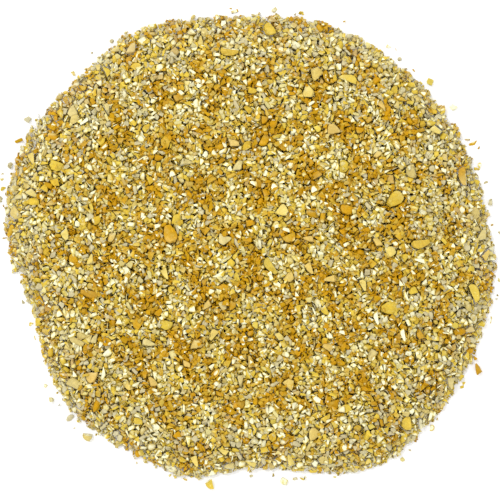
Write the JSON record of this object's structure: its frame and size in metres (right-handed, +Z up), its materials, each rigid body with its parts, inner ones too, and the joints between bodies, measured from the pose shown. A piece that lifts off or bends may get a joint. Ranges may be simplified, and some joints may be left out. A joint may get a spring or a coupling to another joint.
{
  "type": "heap of cracked maize",
  "caption": "Round, shallow heap of cracked yellow maize: coarse kernel pieces on a bed of packed grits, with loose strays round the rim.",
  "frame": {"origin": "on the resting surface, at the middle of the heap", "axes": "+Z up out of the heap; +X and +Y level, so that seen from above with +Y upwards the rim's notch is on the left and its bay at the bottom"},
  "size_m": [0.3006, 0.2937, 0.0166],
  "materials": {
    "meal": "matte",
    "skinned_kernel": "satin",
    "horny_chip": "matte",
    "floury_chip": "matte",
    "germ": "matte",
    "hull": "satin",
    "tip_cap": "matte"
  },
  "bodies": {
    "heap": {"bed_meal": "meal", "bed_fine_grits": "meal", "bed_medium_grits": "meal", "whole_kernels": "skinned_kernel", "split_kernels": "skinned_kernel", "crown_halves": "skinned_kernel", "tip_halves": "skinned_kernel", "crown_quarters": "skinned_kernel", "tip_quarters": "skinned_kernel", "germs": "germ", "hull_flakes": "hull", "crown_chips": "horny_chip", "side_chips": "horny_chip", "back_chips": "horny_chip", "heart_chips": "floury_chip", "tip_chips": "tip_cap", "slivers": "horny_chip", "tip_caps": "tip_cap"},
    "stray_chip_east": {"stray_chip_east": "horny_chip"},
    "stray_grit_east_north_east": {"stray_grit_east_north_east": "floury_chip"},
    "stray_chip_north_east": {"stray_chip_north_east": "horny_chip"},
    "stray_cap_north_east": {"stray_cap_north_east": "tip_cap"},
    "stray_cap_north_west": {"stray_cap_north_west": "tip_cap"},
    "stray_grit_west_north_west": {"stray_grit_west_north_west": "floury_chip"},
    "stray_sliver_west_north_west": {"stray_sliver_west_north_west": "horny_chip"},
    "stray_chip_west": {"stray_chip_west": "horny_chip"},
    "stray_chip_south_west": {"stray_chip_south_west": "tip_cap"},
    "stray_germ_south_west": {"stray_germ_south_west": "germ"},
    "stray_quarter_south_west": {"stray_quarter_south_west": "skinned_kernel"},
    "stray_quarter_south": {"stray_quarter_south": "skinned_kernel"},
    "stray_chip_south": {"stray_chip_south": "horny_chip"},
    "stray_quarter_south_east": {"stray_quarter_south_east": "skinned_kernel"}
  },
  "joints": [
    {"name": "lift_stray_chip_east", "type": "slide", "parent": "heap", "child": "stray_chip_east", "axis": [0, 0, 1], "range_m": [0, 0.03]},
    {"name": "lift_stray_grit_east_north_east", "type": "slide", "parent": "heap", "child": "stray_grit_east_north_east", "axis": [0, 0, 1], "range_m": [0, 0.03]},
    {"name": "lift_stray_chip_north_east", "type": "slide", "parent": "heap", "child": "stray_chip_north_east", "axis": [0, 0, 1], "range_m": [0, 0.03]},
    {"name": "lift_stray_cap_north_east", "type": "slide", "parent": "heap", "child": "stray_cap_north_east", "axis": [0, 0, 1], "range_m": [0, 0.03]},
    {"name": "lift_stray_cap_north_west", "type": "slide", "parent": "heap", "child": "stray_cap_north_west", "axis": [0, 0, 1], "range_m": [0, 0.03]},
    {"name": "lift_stray_grit_west_north_west", "type": "slide", "parent": "heap", "child": "stray_grit_west_north_west", "axis": [0, 0, 1], "range_m": [0, 0.03]},
    {"name": "lift_stray_sliver_west_north_west", "type": "slide", "parent": "heap", "child": "stray_sliver_west_north_west", "axis": [0, 0, 1], "range_m": [0, 0.03]},
    {"name": "lift_stray_chip_west", "type": "slide", "parent": "heap", "child": "stray_chip_west", "axis": [0, 0, 1], "range_m": [0, 0.03]},
    {"name": "lift_stray_chip_south_west", "type": "slide", "parent": "heap", "child": "stray_chip_south_west", "axis": [0, 0, 1], "range_m": [0, 0.03]},
    {"name": "lift_stray_germ_south_west", "type": "slide", "parent": "heap", "child": "stray_germ_south_west", "axis": [0, 0, 1], "range_m": [0, 0.03]},
    {"name": "lift_stray_quarter_south_west", "type": "slide", "parent": "heap", "child": "stray_quarter_south_west", "axis": [0, 0, 1], "range_m": [0, 0.03]},
    {"name": "lift_stray_quarter_south", "type": "slide", "parent": "heap", "child": "stray_quarter_south", "axis": [0, 0, 1], "range_m": [0, 0.03]},
    {"name": "lift_stray_chip_south", "type": "slide", "parent": "heap", "child": "stray_chip_south", "axis": [0, 0, 1], "range_m": [0, 0.03]},
    {"name": "lift_stray_quarter_south_east", "type": "slide", "parent": "heap", "child": "stray_quarter_south_east", "axis": [0, 0, 1], "range_m": [0, 0.03]}
  ]
}
